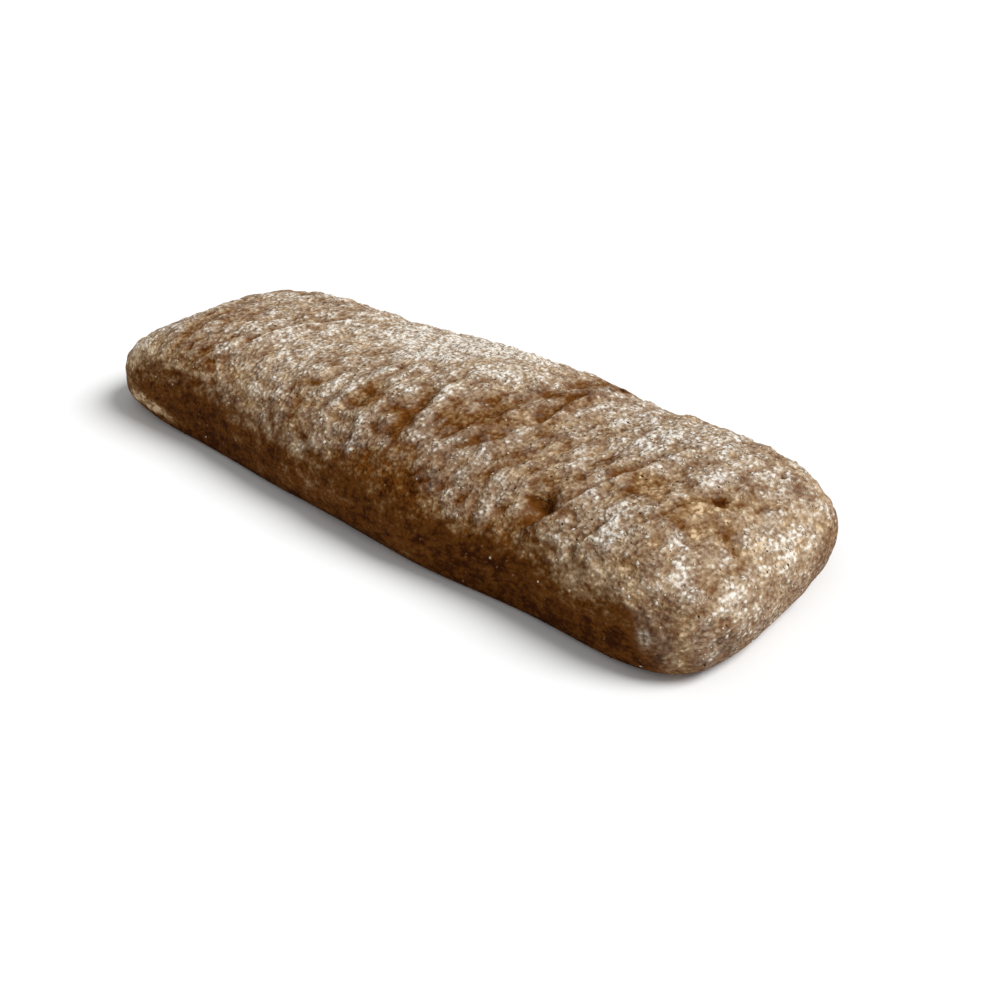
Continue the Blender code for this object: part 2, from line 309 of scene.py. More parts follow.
# Flour holds where the crust is level, by the height of its normal.
HOLD_FROM = 0.32
HOLD_TO = 0.80
# How well flour holds on the walls that face -X, +X and +Y, and how far a wall has to face there. None
# holds on the wall that faces -Y.
SIDE_HOLD = (0.45, 0.62, 0.34)
SIDE_FROM = 0.25
SIDE_TO = 0.95
# The share of the underside that flour covers.
UNDER_FLOUR = 0.36
# How much more flour lies on a wrinkle, for each millimetre of its height.
RIDGE_FLOUR = 0.65

# How dark the crust is, from 0, pale, over 1, dark, to DARKEST: its bake, and in places painted shade.
DARKEST = 1.2
BAKE_REST = 0.56
# The walls are darker: partly crust baked darker, partly painted shade. Where the crust counts as wall, by
# the height of its normal.
WALL_BAKE_AND_SHADE = 0.42
WALL_FROM = 0.75
WALL_SPAN = 0.6
# Creases are painted darker, as shade in them, and most where they are as deep as this.
PAINTED_CREASE_SHADE = 0.25
DEEP_CREASE = 1.6 * MM
# The lower part of the walls is darker, up to this height: partly crust baked darker, partly painted shade.
LOW_BAKE_AND_SHADE = 0.17
LOW_HEIGHT = 14 * MM
# The underside is baked paler.
UNDER_PALER = 0.55
# A painted contact shadow: the rim at the base is painted darker and has no flour, up to this height. It
# ends where the normal points down by more than this.
PAINTED_CONTACT_SHADOW = 0.30
CONTACT_SHADOW_HEIGHT = 2.5 * MM
CONTACT_SHADOW_DOWN = 0.8
# The baking's own unevenness: (size across, change, place in the noise).
BAKE_DRIFT = (
    (22 * MM, 0.22, Vector((9.4, 3.7, 12.1))),
    (6 * MM, 0.30, Vector((2.8, 19.5, 4.4))),
)
# How much of the drift is left on the walls, and how low its patches are there for their length.
WALL_DRIFT = 0.85
DRIFT_FLATNESS = 0.5
# How much of the mottling from grain to grain is left where the crust is dark.
WALL_MOTTLING = 0.62
# Places baked darker or paler, and places painted darker as shade: (centre in crust coordinates, radii
# along and across, change). The last two are a strip low on the near side at the -X end that stayed pale.
BAKE_AND_SHADE_PATCHES = (
    # This and the next: a flap of crust by the far crest, partly darker crust and partly painted shade.
    ((31, 24), (4, 14), 0.46),
    ((35, 34), (3, 4), 0.60),
    ((90, -50), (8, 5), 0.30),
    ((-94, -38), (9, 10), -0.40),
    ((24, 12), (5, 16), 0.12),
    # Painted shade in the deep pit.
    ((54, -30.5), (3.8, 3.8), 0.42),
    ((72, -10), (8, 9), -0.18),
    ((90, -6), (7, 6), -0.18),
    ((50, -29), (4, 4), -0.25),
    ((62, -47), (8, 5), -0.22),
    # Painted shade in the small hole.
    ((88.8, -4.3), (1.6, 1.6), 0.75),
    # This and the next: painted shade on the near shoulder, which turns from the light.
    ((10, -44), (14, 7), 0.30),
    ((46, -46), (14, 7), 0.25),
    ((-36, -50), (18, 7), 0.12),
    ((-80, -43), (13, 7), -0.34),
    ((60, -56), (30, 3), 0.20),
    ((-10, -51), (11, 5), -0.30),
    ((76, -45), (16, 7), -0.36),
    ((24, -24), (22, 12), 0.24),
    ((108, 0), (12, 40), -0.24),
    ((-99, -46), (10, 14), -0.30),
    ((40, -36), (20, 4), 0.12),
    ((68, -51), (14, 4), -0.24),
    ((22, -56), (6, 3), -0.28),
    ((-92, -42), (8, 6), -0.26),
    ((104, -53), (9, 7), -0.62),
    ((-86, -54.2), (8, 1.2), -2.2),
    ((-76, -55.3), (9, 1), -1.9),
)

# The view of the loaf: turns in degrees, distance and lens.
VIEW_AZIMUTH = 41.9
VIEW_ELEVATION = 30.32
VIEW_DISTANCE = 361.8 * MM
VIEW_YAW = -2.45
VIEW_PITCH = -1.62
VIEW_LENS = 45.62
SENSOR = 36.0
# The camera sees nothing nearer than this.
NEAREST = 10 * MM
# Where the key light comes from.
KEY_FROM = (0.65, 0.45, 0.95)


def smoothstep(t):
    """Eases t from 0 to 1."""
    t = np.clip(t, 0.0, 1.0)
    return t * t * (3.0 - 2.0 * t)


def along_stations(x, stations, values):
    """The value at x, eased from each station to the next."""
    x = np.clip(x, stations[0], stations[-1])
    last = len(stations) - 2
    index = np.clip(np.searchsorted(stations, x) - 1, 0, last)
    starts = np.asarray(stations)[index]
    ends = np.asarray(stations)[index + 1]
    share = smoothstep((x - starts) / (ends - starts))
    return np.asarray(values)[index] * (1.0 - share) + np.asarray(values)[index + 1] * share


def corner_power(along, across):
    """How square the outline is in the direction (along, across) from the loaf's middle."""
    right = smoothstep(0.5 + 0.5 * along)
    far = smoothstep(0.5 + 0.5 * across)
    powers = CORNER_POWERS
    left_end = powers["left_near"] * (1.0 - far) + powers["left_far"] * far
    right_end = powers["right_near"] * (1.0 - far) + powers["right_far"] * far
    return left_end * (1.0 - right) + right_end * right


def onto_square(x, y):
    """The direction of a point, on the rim of a square, and its share of the way out to the rim."""
    reach = np.maximum(np.abs(x), np.abs(y))
    safe = np.maximum(reach, TINY)
    return np.where(reach < TINY, 1.0, x / safe), np.where(reach < TINY, 0.0, y / safe), reach


def outline_scale(along, across):
    """How far the outline stands from the middle in a direction, as a share of the square's rim."""
    power = corner_power(along, across)
    return (np.abs(along) ** power + np.abs(across) ** power) ** (-1.0 / power)


def outline_share(x, y):
    """The share of the way out from the middle to the outline at which a plan point lies."""
    along, across, reach = onto_square(x, y)
    return reach / outline_scale(along, across)


def crest_height(x, y):
    """The height of the top over the middle line at x, tilted a little across the loaf."""
    return CREST_HEIGHT * along_stations(x, CREST_STATIONS, CREST_SHARES) * (1.0 + CREST_TILT * y)


def dome(reach):
    """Height of the domed top, from 1 at the crest to 0 at the belly line."""
    return (1.0 - np.minimum(reach, 1.0) ** DOME_POWER) ** (1.0 / DOME_POWER)


def place(x, y, tuck, rise):
    """The point at plan shares (x, y), tuck up from base to belly and rise up from belly to crest."""
    half = WIDTH / 2 * y * (1.0 + TAPER * x) + BOW * x * x
    near = along_stations(x, SIDE_STATIONS, NEAR_SIDE_SWELL) * np.clip(-y, 0.0, 1.0) ** 2
    far = along_stations(x, SIDE_STATIONS, FAR_SIDE_SWELL) * np.clip(y, 0.0, 1.0) ** 2
    belly = BELLY_HEIGHT * tuck
    height = belly + (crest_height(x, y) - BELLY_HEIGHT) * rise
    return np.stack([LENGTH / 2 * x, half - near + far, height], axis=-1)


def base_share(along):
    """How far out the base reaches, as a share of the way to the outline, by the outline's place along."""
    return BASE_SHARE - LEFT_END_LIFT * np.clip(-along, 0.0, 1.0) ** 3


def wall_point(along, across, turn):
    """A point of the wall: turn runs from -1 at the base, over 0 at the belly, to 1 at the shoulder."""
    rim = base_share(along)
    angle = np.clip(1.0 + turn, 0.0, 1.0) * math.pi / 2
    below = rim + (1.0 - rim) * np.sin(angle)
    above = 1.0 - (1.0 - SHOULDER) * np.clip(turn, 0.0, 1.0) ** 2
    share = np.where(turn < 0.0, below, above)
    tuck = np.where(turn < 0.0, 1.0 - np.cos(angle), 1.0)
    rise = np.where(turn < 0.0, 0.0, dome(share))
    return place(along * share, across * share, tuck, rise)


def wall_turns(rows):
    """The turns that cut the wall into rows of equal height along its curve, at mid length."""
    turns = np.linspace(-1.0, 1.0, WALL_SAMPLES)
    points = wall_point(np.zeros(WALL_SAMPLES), -np.ones(WALL_SAMPLES), turns)
    steps = np.linalg.norm(np.diff(points, axis=0), axis=1)
    run = np.concatenate([[0.0], np.cumsum(steps)])
    return np.interp(np.linspace(0.0, run[-1], rows + 1), run, turns)


def outward(along, across):
    """The level direction that leaves the outline squarely at each of its points."""
    power = corner_power(along, across) - 1.0
    lean_long = np.sign(along) * np.abs(along) ** power / LENGTH
    lean_wide = np.sign(across) * np.abs(across) ** power / WIDTH
    lean = np.stack([lean_long, lean_wide], axis=-1)
    return lean / np.linalg.norm(lean, axis=-1, keepdims=True)


def smooth_form(cube):
    """Places the points of a cube that reaches from -1 to 1 on the loaf's smooth form.

    Returns them with their crust coordinates: the crust laid out flat, as the place seen from above, and
    past the shoulder the distance down the wall is added outwards.
    """
    along, across, reach = onto_square(cube[:, 0], cube[:, 1])
    scale = outline_scale(along, across)
    rows = np.rint((cube[:, 2] + 1.0) / 2.0 * CELLS_HIGH).astype(int)
    wall = wall_point(along * scale, across * scale, wall_turns(CELLS_HIGH)[rows])
    shoulder = wall_point(along * scale, across * scale, np.ones(len(cube)))
    pull = SHOULDER * (1.0 - (1.0 - scale) * reach**CORNER_PULL)
    x = cube[:, 0] * pull
    y = cube[:, 1] * pull
    top = place(x, y, 1.0, dome(outline_share(x, y)))
    rim = base_share(along * scale)
    base = place(x / SHOULDER * rim, y / SHOULDER * rim, 0.0, 0.0)
    is_wall = (reach > 1.0 - TINY)[:, None]
    on_base = (cube[:, 2] < -1.0 + TINY)[:, None]
    points = np.where(is_wall, wall, np.where(on_base, base, top))
    run = np.linalg.norm(wall - shoulder, axis=1, keepdims=True)
    laid_out = shoulder[:, :2] + outward(along * scale, across * scale) * run
    return points, np.where(is_wall, laid_out, points[:, :2])


def spline(path):
    """A smooth curve through the points of a path."""
    knots = np.asarray(path, float) * MM
    ends = np.vstack([2 * knots[0] - knots[1], knots, 2 * knots[-1] - knots[-2]])
    rows = []
    for i in range(len(knots) - 1):
        a, b, c, d = ends[i : i + 4]
        for t in np.arange(SPLINE_STEPS) / SPLINE_STEPS:
            bend = 2 * b + (c - a) * t + (2 * a - 5 * b + 4 * c - d) * t * t
            rows.append((bend + (3 * b - a - 3 * c + d) * t**3) / 2)
    rows.append(knots[-1])
    return np.array(rows)


def across_crease(place_on_crust, half_width, path):
    """The distance across a crease, in half widths and positive on its left, and its fade to its ends."""
    line = spline(path)
    nearest = np.full(len(place_on_crust), np.inf)
    side = np.zeros(len(place_on_crust))
    share = np.zeros(len(place_on_crust))
    for i in range(len(line) - 1):
        run = line[i + 1] - line[i]
        offset = place_on_crust - line[i]
        t = np.clip(offset @ run / (run @ run), 0.0, 1.0)
        away = offset - t[:, None] * run
        distance = np.linalg.norm(away, axis=1)
        closer = distance < nearest
        nearest = np.where(closer, distance, nearest)
        side = np.where(closer, np.sign(run[0] * away[:, 1] - run[1] * away[:, 0]), side)
        share = np.where(closer, (i + t) / (len(line) - 1), share)
    fade = smoothstep(share / CREASE_FADE) * smoothstep((1.0 - share) / CREASE_FADE)
    return nearest * side / (half_width * MM), fade


def crease(place_on_crust, depth, half_width, lip, path):
    """Relief of one crease: a groove along its path, steep towards the lip on its left."""
    across, fade = across_crease(place_on_crust, half_width, path)
    groove = -depth * MM * np.exp(-(np.where(across > 0.0, across / STEEP, across) ** 2))
    swell = lip * MM * np.exp(-(((across - LIP_PLACE) / LIP_WIDTH) ** 2))
    return (groove + swell) * fade


def blister(place_on_crust, centre, radius, height):
    """Relief of one round hollow or swell."""
    distance = np.linalg.norm(place_on_crust - np.array(centre) * MM, axis=1)
    return height * MM * np.exp(-((distance / (radius * MM)) ** 2))


def noise_at(points, size, offset):
    """Smooth noise at each point. size is one length, or a length for each axis."""
    scaled = points / np.asarray(size) + np.array(offset)
    return np.array([noise.noise(point) for point in scaled.tolist()])


def dough_relief(points, place_on_crust):
    """How far the swells, creases and blisters move each point of the crust along its normal."""
    total = np.zeros(len(points))
    for size, height, offset in LUMPS:
        total += height * noise_at(points, size, offset)
    for depth, half_width, lip, path in CREASES.values():
        total += crease(place_on_crust, depth, half_width, lip, path)
    for centre, radius, height in BLISTERS.values():
        total += blister(place_on_crust, centre, radius, height)
    return total * smoothstep(points[:, 2] / BASE_FADE)


def wrinkles(points):
    """Fine wrinkles of the baked skin, which run across the loaf: ridges between narrow valleys."""
    total = np.zeros(len(points))
    for long_size, wide_size, height, offset in WRINKLES:
        value = noise_at(points, (long_size, wide_size, long_size), offset)
        total += height * np.clip(WRINKLE_STEEPNESS * np.abs(value) - WRINKLE_VALLEY, -1.0, 1.0)
    return total


def pits(points):
    """Small pits in the underside."""
    size, depth, opening, deepening, offset = PITS
    return depth * smoothstep((noise_at(points, size, offset) - opening) / deepening)


def lay_spots(share, place_on_crust, spots):
    """Adds soft round or oval spots to the share. Each has its full change in its middle."""
    for centre, radii, change in spots:
        offset = (place_on_crust / MM - np.array(centre)) / np.array(radii)
        share += change * np.exp(-(offset**2).sum(axis=1))


def underside(normals):
    """1 on the underside and 0 elsewhere."""
    return smoothstep((-normals[:, 2] - UNDER_FROM) / UNDER_SPAN)


def flour_share(points, place_on_crust, normals, skin, coverage):
    """The share of the crust that flour covers at each point, from 0 to 1."""
    share = np.full(len(points), coverage)
    lay_spots(share, place_on_crust, FLOUR_PATCHES)
    for name, half_width, in_groove, on_lip in CREASE_FLOUR:
        across, fade = across_crease(place_on_crust, half_width, CREASES[name][3])
        groove = np.exp(-(np.where(across > 0.0, across / STEEP, across) ** 2))
        lip = np.exp(-(((across - LIP_PLACE) / (LIP_WIDTH / 2)) ** 2))
        share += (in_groove * groove + on_lip * lip) * fade
    for size, change, offset in FLOUR_DRIFT:
        share += change * noise_at(points, size, offset)
    share += RIDGE_FLOUR * skin / MM
    share = np.clip(share, 0.0, 1.0)
    hold = smoothstep((normals[:, 2] - HOLD_FROM) / (HOLD_TO - HOLD_FROM))
    for facing, side_hold in zip((-normals[:, 0], normals[:, 0], normals[:, 1]), SIDE_HOLD):
        hold = np.maximum(hold, side_hold * smoothstep((facing - SIDE_FROM) / (SIDE_TO - SIDE_FROM)))
    share *= hold
    lay_spots(share, place_on_crust, CLINGING_FLOUR)
    # No flour in the painted contact shadow at the base.
    share *= smoothstep(points[:, 2] / CONTACT_SHADOW_HEIGHT)
    under = underside(normals)
    return np.clip(share * (1.0 - under) + UNDER_FLOUR * under, 0.0, 1.0)


def bake_and_shade_share(points, place_on_crust, normals, relief):
    """How dark the crust is at each point, from 0 to DARKEST: its bake, and painted shade in places."""
    wall = smoothstep((WALL_FROM - normals[:, 2]) / WALL_SPAN)
    # The walls are darker, partly baked so and partly painted shade.
    share = BAKE_REST + WALL_BAKE_AND_SHADE * wall
    # Darker low on the walls: partly baked so, partly painted shade.
    share += LOW_BAKE_AND_SHADE * smoothstep(1.0 - points[:, 2] / LOW_HEIGHT)
    # Painted shade in the creases.
    share += PAINTED_CREASE_SHADE * smoothstep(-relief / DEEP_CREASE)
    for size, change, offset in BAKE_DRIFT:
        drift = noise_at(points, (size, size, size * DRIFT_FLATNESS), offset)
        share += change * (1.0 - (1.0 - WALL_DRIFT) * wall) * drift
    lay_spots(share, place_on_crust, BAKE_AND_SHADE_PATCHES)
    # Painted contact shadow at the base.
    share += PAINTED_CONTACT_SHADOW * smoothstep(1.0 - points[:, 2] / CONTACT_SHADOW_HEIGHT) * (normals[:, 2] > -CONTACT_SHADOW_DOWN)
    share = np.where(underside(normals) > 0.5, share - UNDER_PALER, share)
    return np.clip(share, 0.0, DARKEST)


def grid_cube():
    """A cube from -1 to 1, cut into the crust's grid of cells."""
    mesh = bmesh.new()
    bmesh.ops.create_cube(mesh, size=2.0)
    for axis, cells in enumerate((CELLS_LONG, CELLS_WIDE, CELLS_HIGH)):
        edges = [e for e in mesh.edges if abs(e.verts[0].co[axis] - e.verts[1].co[axis]) > 1.0]
        bmesh.ops.subdivide_edges(mesh, edges=edges, cuts=cells - 1, use_grid_fill=True)
    return mesh


def rows_of(items, name, kind=float):
    """Three numbers of each item of a mesh, as rows of an array."""
    values = np.empty(len(items) * 3, kind)
    items.foreach_get(name, values)
    return values.reshape(-1, 3)


def coordinates(mesh):
    """The mesh's points."""
    return rows_of(mesh.vertices, "co")


def point_normals(mesh):
    """The mesh's normals at its points."""
    return rows_of(mesh.vertex_normals, "vector")


def set_coordinates(mesh, points):
    """Moves the mesh's points to the rows of an array."""
    mesh.vertices.foreach_set("co", points.ravel())
    mesh.update()


def settle(points, measured):
    """Centres the loaf and scales it to its exact length, by the ends of the measured points."""
    low = measured.min(axis=0)
    high = measured.max(axis=0)
    middle = np.array([(low[0] + high[0]) / 2, (low[1] + high[1]) / 2, low[2]])
    return (points - middle) * (LENGTH / (high[0] - low[0]))


def keep_in_box(points):
    """Keeps points inside the loaf's own box."""
    return np.clip(points, np.array(LOAF_LOW), np.array(LOAF_HIGH))


def add_attribute(mesh, name, values):
    """Stores one number for each point of the mesh."""
    mesh.attributes.new(name, "FLOAT", "POINT").data.foreach_set("value", values)


def new_object(name, data):
    """Adds an object to the scene."""
    obj = bpy.data.objects.new(name, data)
    bpy.context.scene.collection.objects.link(obj)
    return obj


def new_piece(name, mesh, material):
    """Adds a piece to the scene, riding on the loaf's body."""
    mesh.materials.append(material)
    obj = new_object(name, mesh)
    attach(obj, BODY)
    return obj


def crust_mesh(coverage):
    """The crust's fine mesh, with its flour, and its bake with painted shade, stored on its points."""
    cube = grid_cube()
    mesh = bpy.data.meshes.new("crust")
    cube.to_mesh(mesh)
    cube.free()
    form, place_on_crust = smooth_form(coordinates(mesh))
    set_coordinates(mesh, form)
    normals = point_normals(mesh)
    relief = dough_relief(form, place_on_crust)
    skin = wrinkles(form)
    swollen = form + normals * relief[:, None]
    level = smoothstep((normals[:, 2] - LEVEL_FROM) / LEVEL_SPAN)
    fade = smoothstep(form[:, 2] / BASE_FADE) * (WALL_WRINKLES + (1.0 - WALL_WRINKLES) * level)
    points = swollen + normals * ((skin - SKIN_SINK) * fade)[:, None]
    points[:, 2] += pits(form) * smoothstep((-normals[:, 2] - UNDER_FROM) / PIT_SPAN)
    set_coordinates(mesh, keep_in_box(settle(points, swollen)))
    mesh.shade_smooth()
    normals = point_normals(mesh)
    add_attribute(mesh, "flour", flour_share(form, place_on_crust, normals, skin * fade, coverage))
    add_attribute(mesh, "bake_and_shade", bake_and_shade_share(form, place_on_crust, normals, relief + skin * fade))
    return mesh


# Shader nodes. A scale without a unit is a share of the grit's grains per metre, and finer when higher.

FLOAT = "NodeSocketFloat"
EVEN = (1.0, 1.0, 1.0)
# How much closer together the grit stands along each axis, and its noise.
GRIT_STRETCH = (1.0, 0.75, 1.25)
GRIT_DETAIL = 1.2
GRIT_ROUGHNESS = 0.55
# Clumps are cells: their size, the noise that moves them about, and where they end in each cell.
CLUMP_SCALE = 0.8
SHAKE_SCALE = 0.5
SHAKE_REACH = 0.8 * MM
CLUMP_EDGE = (0.10, 0.62)
# Powder: the grit's noise from pores to grains, and how much powder lies on each.
POWDER_GRIT = (0.22, 0.78)
POWDER_SHARE = (0.28, 1.05)
# How much flour it takes to look thick.
THICK_FLOUR = (0.30, 0.90)
# Mottling: its size, its noise, and its weight against that of the grit and the clumps. The tone of the
# grit and the clumps is low in the pores between grains: painted shade.
MOTTLE_SCALE = 0.3
MOTTLE_DETAIL = 2.0
MOTTLE_ROUGHNESS = 0.6
MOTTLE_WEIGHT = 0.7
GRIT_SHADE_WEIGHT = 0.3
CLUMP_RANGE = (0.0, 0.6)
CLUMP_GAP_SHADE = (-0.06, 0.03)
# The bumps of clumps and of flour, against those of the grit, which are this deep.
CLUMP_HEIGHT = 0.3
FLOUR_HEIGHT = 0.15
GRIT_DEPTH = 0.8 * MM
# How dark the crust is where its mottling weakens and where each colour gives way to the next.
MOTTLING_FADE = (0.6, 1.0)
PALE_TO_GOLDEN = (-0.1, 0.25)
GOLDEN_TO_BROWN = (0.2, 0.6)
BROWN_TO_DARK = (0.55, 0.95)
DARK_TO_SCORCHED = (0.9, 1.5)
# The roughness of bare crust, of floured crust and of the floor, and how little the pieces shine.
CRUST_ROUGHNESS = 0.75
FLOUR_ROUGHNESS = 0.95
FLOOR_ROUGHNESS = 0.9
SHINE = 0.03
# Loose specks: the detail of the clouds in which their colour varies, and the depth of their bumps. Each
# kind has its own scale of clouds, the edge between its two colours, its roughness and scale of bumps.
SPECK_DETAIL = 3.0
SPECK_BUMP = 0.1 * MM
GRAIN_LOOK = {"clouds": 600.0, "edge": (0.3, 0.8), "roughness": 0.95, "bumps": 3000.0}
BRAN_LOOK = {"clouds": 400.0, "edge": (0.35, 0.65), "roughness": 0.7, "bumps": 2500.0}


def wire(tree, source, target):
    """Joins an output socket to an input socket."""
    tree.links.new(source, target)


def set_input(tree, socket, value):
    """Feeds a socket from another socket, or sets it to a plain value."""
    if isinstance(value, bpy.types.NodeSocket):
        wire(tree, value, socket)
    else:
        socket.default_value = value


def new_node(tree, kind, inputs, **properties):
    """Adds a node, sets its properties and feeds its inputs, given by name or by number."""
    node = tree.nodes.new(kind)
    for name, value in properties.items():
        setattr(node, name, value)
    for key, value in inputs.items():
        set_input(tree, node.inputs[key], value)
    return node


def math_node(tree, operation, first, second=0.0, third=0.0):
    """One step of arithmetic on up to three values."""
    inputs = {0: first, 1: second, 2: third}
    return new_node(tree, "ShaderNodeMath", inputs, operation=operation).outputs[0]


def ramp(tree, value, low, high, to_low=0.0, to_high=1.0):
    """Eases value from low..high to to_low..to_high."""
    inputs = {"Value": value, "From Min": low, "From Max": high, "To Min": to_low, "To Max": to_high}
    return new_node(tree, "ShaderNodeMapRange", inputs, interpolation_type="SMOOTHSTEP").outputs[0]


def mix_colour(tree, share, first, second):
    """The first colour at share 0, the second at 1."""
    return new_node(tree, "ShaderNodeMix", {0: share, 6: first, 7: second}, data_type="RGBA").outputs[2]


def noise_node(tree, place, scale, detail=2.0, roughness=0.5):
    """Noise from 0 to 1."""
    inputs = {"Vector": place, "Scale": scale, "Detail": detail, "Roughness": roughness}
    return new_node(tree, "ShaderNodeTexNoise", inputs).outputs["Fac"]


def attribute(tree, name):
    """The number that the mesh's points hold under a name."""
    return new_node(tree, "ShaderNodeAttribute", {}, attribute_name=name).outputs["Fac"]


def stretched_place(tree, stretch):
    """The place on the piece, squeezed or stretched along each axis."""
    place = new_node(tree, "ShaderNodeTexCoord", {}).outputs["Object"]
    return new_node(tree, "ShaderNodeVectorMath", {0: place, 1: stretch}, operation="MULTIPLY").outputs[0]


def new_group(name, inputs, outputs):
    """An empty shader node group with named sockets: (name, kind, default) and (name, kind)."""
    group = bpy.data.node_groups.new(name, "ShaderNodeTree")
    for socket_name, kind, default in inputs:
        socket = group.interface.new_socket(socket_name, in_out="INPUT", socket_type=kind)
        socket.default_value = default
    for socket_name, kind in outputs:
        group.interface.new_socket(socket_name, in_out="OUTPUT", socket_type=kind)
    return group, group.nodes.new("NodeGroupInput"), group.nodes.new("NodeGroupOutput")


def place_group(tree, name, **values):
    """Places a node group in a material and feeds its inputs, named with _ for spaces."""
    inputs = {key.replace("_", " "): value for key, value in values.items()}
    return new_node(tree, "ShaderNodeGroup", inputs, node_tree=bpy.data.node_groups[name])


def shaken_place(tree, place, scale, reach):
    """A place moved about by noise, so that cells lose their straight edges."""
    shake = new_node(tree, "ShaderNodeTexNoise", {"Vector": place, "Scale": scale}).outputs["Color"]
    inputs = {0: shake, 1: (reach, reach, reach), 2: place}
    return new_node(tree, "ShaderNodeVectorMath", inputs, operation="MULTIPLY_ADD").outputs[0]


def grit_noise(tree, scale):
    """The grit of the crust: noise that is high on each grain and low in the pores between them."""
    place = stretched_place(tree, GRIT_STRETCH)
    return noise_node(tree, place, scale, GRIT_DETAIL, GRIT_ROUGHNESS)


def clump_cells(tree, scale):
    """Small rounded clumps: 1 in the middle of each and 0 between them, and a random number for each."""
    place = stretched_place(tree, GRIT_STRETCH)
    shaken = shaken_place(tree, place, math_node(tree, "MULTIPLY", scale, SHAKE_SCALE), SHAKE_REACH)
    inputs = {"Vector": shaken, "Scale": math_node(tree, "MULTIPLY", scale, CLUMP_SCALE)}
    cells = new_node(tree, "ShaderNodeTexVoronoi", inputs)
    random = new_node(tree, "ShaderNodeSeparateColor", {0: cells.outputs["Color"]}).outputs[0]
    return ramp(tree, cells.outputs["Distance"], *CLUMP_EDGE, 1.0, 0.0), random


def flour_group():
    """Flour on gritty crust: powder, thicker on the grit than in its pores, and small clumps of it."""
    inputs = (("Coverage", FLOAT, 0.5), ("Grit Per Metre", FLOAT, 900.0), ("Clumps", FLOAT, 1.2))
    tree, given, made = new_group("Flour Dusting", inputs, (("Mask", FLOAT), ("Thick", FLOAT)))
    coverage = given.outputs["Coverage"]
    scale = given.outputs["Grit Per Metre"]
    powder = ramp(tree, grit_noise(tree, scale), *POWDER_GRIT, *POWDER_SHARE)
    clump, random = clump_cells(tree, scale)
    clump = math_node(tree, "MULTIPLY", clump, random)
    clumps = math_node(tree, "MULTIPLY_ADD", clump, given.outputs["Clumps"], powder)
    mask = math_node(tree, "MINIMUM", math_node(tree, "MULTIPLY", clumps, coverage), 1.0)
    wire(tree, mask, made.inputs["Mask"])
    wire(tree, ramp(tree, mask, *THICK_FLOUR), made.inputs["Thick"])


def grain_group():
    """The granular skin of wholemeal crust: the height of its grit, and a mottled tone, low in its pores as
    painted shade.
    """
    inputs = (("Grit Per Metre", FLOAT, 900.0),)
    tree, given, made = new_group("Crust Grain", inputs, (("Height", FLOAT), ("Tone", FLOAT)))
    scale = given.outputs["Grit Per Metre"]
    grit = grit_noise(tree, scale)
    clump = clump_cells(tree, scale)[0]
    place = stretched_place(tree, GRIT_STRETCH)
    mottle_scale = math_node(tree, "MULTIPLY", scale, MOTTLE_SCALE)
    mottle = noise_node(tree, place, mottle_scale, MOTTLE_DETAIL, MOTTLE_ROUGHNESS)
    height = math_node(tree, "MULTIPLY_ADD", clump, CLUMP_HEIGHT, grit)
    # Painted shade: the tone is lower in the pores, where the grit and the clumps are low.
    grit_shade = math_node(tree, "MULTIPLY", grit, GRIT_SHADE_WEIGHT)
    tone = math_node(tree, "MULTIPLY_ADD", mottle, MOTTLE_WEIGHT, grit_shade)
    tone = math_node(tree, "ADD", tone, ramp(tree, clump, *CLUMP_RANGE, *CLUMP_GAP_SHADE))
    wire(tree, height, made.inputs["Height"])
    wire(tree, tone, made.inputs["Tone"])


def four(colour):
    """The colour as a socket wants it, with full opacity."""
    return (*colour, 1.0)


def new_material(name):
    """A material, its node tree and its shader."""
    material = bpy.data.materials.new(name)
    material.use_nodes = True
    tree = material.node_tree
    return material, tree, tree.nodes["Principled BSDF"]


def finish(tree, shader, colour, roughness, height, distance):
    """Feeds colour, roughness and bump into the shader."""
    set_input(tree, shader.inputs["Base Color"], colour)
    set_input(tree, shader.inputs["Roughness"], roughness)
    shader.inputs["Specular IOR Level"].default_value = SHINE
    bump = new_node(tree, "ShaderNodeBump", {"Strength": 1.0, "Distance": distance, "Height": height})
    wire(tree, bump.outputs[0], shader.inputs["Normal"])


def crust_material(crust, flour):
    """Baked wholemeal crust, from pale to dark, with flour lying on it."""
    material, tree, shader = new_material("baked_crust")
    bake_and_shade = attribute(tree, "bake_and_shade")
    grain = place_group(tree, "Crust Grain", Grit_Per_Metre=crust.grit_per_metre)
    mottling = ramp(tree, bake_and_shade, *MOTTLING_FADE, crust.mottling, crust.mottling * WALL_MOTTLING)
    tone = math_node(tree, "SUBTRACT", 0.5, grain.outputs["Tone"])
    depth = math_node(tree, "MULTIPLY_ADD", tone, mottling, bake_and_shade)
    baked = four(crust.pale)
    darker = (crust.golden, crust.brown, crust.dark, crust.scorched)
    for edge, colour in zip((PALE_TO_GOLDEN, GOLDEN_TO_BROWN, BROWN_TO_DARK, DARK_TO_SCORCHED), darker):
        baked = mix_colour(tree, ramp(tree, depth, *edge), baked, four(colour))
    dusting = place_group(
        tree,
        "Flour Dusting",
        Coverage=attribute(tree, "flour"),
        Grit_Per_Metre=crust.grit_per_metre,
        Clumps=flour.clumps,
    )
    mask = dusting.outputs["Mask"]
    powder = mix_colour(tree, dusting.outputs["Thick"], four(flour.thin), four(flour.colour))
    colour = mix_colour(tree, mask, baked, powder)
    roughness = ramp(tree, mask, 0.0, 1.0, CRUST_ROUGHNESS, FLOUR_ROUGHNESS)
    height = math_node(tree, "MULTIPLY_ADD", mask, FLOUR_HEIGHT, grain.outputs["Height"])
    finish(tree, shader, colour, roughness, height, GRIT_DEPTH)
    return material


